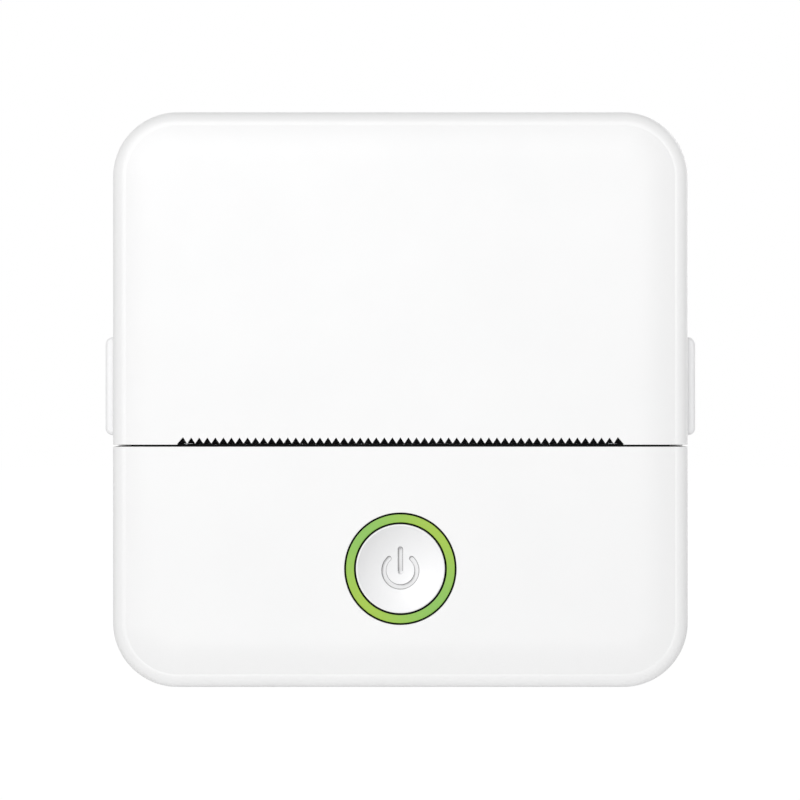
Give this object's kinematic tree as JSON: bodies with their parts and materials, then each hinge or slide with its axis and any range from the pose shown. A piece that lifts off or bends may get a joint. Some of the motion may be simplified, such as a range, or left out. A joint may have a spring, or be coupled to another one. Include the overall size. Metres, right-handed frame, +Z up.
{
  "type": "portable thermal printer",
  "caption": "Pocket thermal label printer: rounded square case, top-hinged paper cover with serrated tear edge, side release buttons, lit power button, roller and print head inside.",
  "frame": {"origin": "middle of the case's foot, on the surface that it stands on", "axes": "+X to the right seen from the front, +Y from the front face to the back, +Z up"},
  "size_m": [0.0822, 0.038, 0.08],
  "materials": {
    "shell_white": "fine satin",
    "button_white": "fine satin",
    "frame_black": "matt",
    "ring_green": "frosted translucent",
    "plate_steel": "rolled",
    "rod_steel": "ground",
    "screw_steel": "plated",
    "spring_steel": "drawn",
    "roller_rubber": "matt",
    "gear_nylon": "satin",
    "bearing_acetal": "satin",
    "pinion_brass": "machined",
    "motor_can": "satin",
    "sink_aluminium": "satin",
    "strip_ceramic": "glazed",
    "board_green": "solder mask",
    "chip_black": "moulded",
    "socket_cream": "satin",
    "shield_tin": "tinned",
    "lamp_resin": "clear",
    "port_steel": "plated",
    "cell_wrap": "shrink film",
    "pad_foam": "closed foam",
    "lead_red": "satin",
    "flex_amber": "film"
  },
  "bodies": {
    "base": {"rear_shell": "shell_white", "front_bezel": "shell_white", "light_ring": "ring_green", "paper_trough": "frame_black", "paper_guide": "frame_black", "chassis_plate_left": "plate_steel", "chassis_plate_right": "plate_steel", "chassis_crossbar": "plate_steel", "hinge_rod": "rod_steel", "idler_pin": "rod_steel", "motor_body": "motor_can", "motor_bracket": "plate_steel", "head_flex": "flex_amber", "head_springs": "spring_steel", "main_board": "board_green", "board_components": "chip_black", "board_sockets": "socket_cream", "radio_module": "shield_tin", "ring_leds": "lamp_resin", "usb_port": "port_steel", "usb_tongue": "chip_black", "tact_switch": "chip_black", "battery_pack": "cell_wrap", "battery_pad": "pad_foam", "battery_leads": "lead_red", "paper_sensor": "chip_black", "case_screws": "screw_steel", "chassis_screws": "screw_steel", "board_screws": "screw_steel", "motor_screws": "screw_steel"},
    "cover": {"paper_cover": "shell_white", "cover_frame": "frame_black", "cover_screws": "screw_steel", "platen_bearings": "bearing_acetal", "release_spring_left": "spring_steel", "release_spring_right": "spring_steel"},
    "platen": {"platen_shaft": "rod_steel", "platen_rubber": "roller_rubber", "platen_gear": "gear_nylon"},
    "idler": {"idler_gear": "gear_nylon"},
    "motor_rotor": {"motor_pinion": "pinion_brass", "motor_shaft": "rod_steel"},
    "print_head": {"head_heatsink": "sink_aluminium", "head_substrate": "strip_ceramic", "head_socket": "socket_cream"},
    "power_button": {"power_cap": "button_white", "switch_plunger": "socket_cream"},
    "release_left": {"release_button_left": "button_white"},
    "release_right": {"release_button_right": "button_white"}
  },
  "joints": [
    {"name": "cover_hinge", "type": "hinge", "parent": "base", "child": "cover", "pos_m": [0, 0.001, 0.078], "axis": [-1, 0, 0], "range_deg": [0, 100]},
    {"name": "platen_spin", "type": "hinge", "parent": "cover", "child": "platen", "pos_m": [0, -0.009, 0.0403], "axis": [1, 0, 0], "continuous": true},
    {"name": "idler_spin", "type": "hinge", "parent": "base", "child": "idler", "pos_m": [0.034, -0.00207, 0.0363], "axis": [1, 0, 0], "continuous": true},
    {"name": "motor_spin", "type": "hinge", "parent": "base", "child": "motor_rotor", "pos_m": [0.03, 0.00279, 0.02588], "axis": [1, 0, 0], "continuous": true},
    {"name": "head_float", "type": "hinge", "parent": "base", "child": "print_head", "pos_m": [0, 0.00357, 0.03523], "axis": [1, 0, 0], "range_deg": [0, 1.5], "stiffness_Nm_per_rad": 2, "springref_deg": -2.29, "deforming": ["head_springs", "head_flex"]},
    {"name": "power_press", "type": "slide", "parent": "base", "child": "power_button", "axis": [0, 1, 0], "range_m": [0, 0.0005], "stiffness_N_per_m": 800, "springref_m": -0.0006},
    {"name": "release_left_press", "type": "slide", "parent": "cover", "child": "release_left", "axis": [1, 0, 0], "range_m": [0, 0.0011], "stiffness_N_per_m": 500, "springref_m": -0.0008, "deforming": ["release_spring_left"]},
    {"name": "release_right_press", "type": "slide", "parent": "cover", "child": "release_right", "axis": [-1, 0, 0], "range_m": [0, 0.0011], "stiffness_N_per_m": 500, "springref_m": -0.0008, "deforming": ["release_spring_right"]}
  ],
  "couplings": [
    {"joint": "idler_spin", "follows": "platen_spin", "ratio": -1.6667},
    {"joint": "motor_spin", "follows": "platen_spin", "ratio": 4.7222}
  ]
}
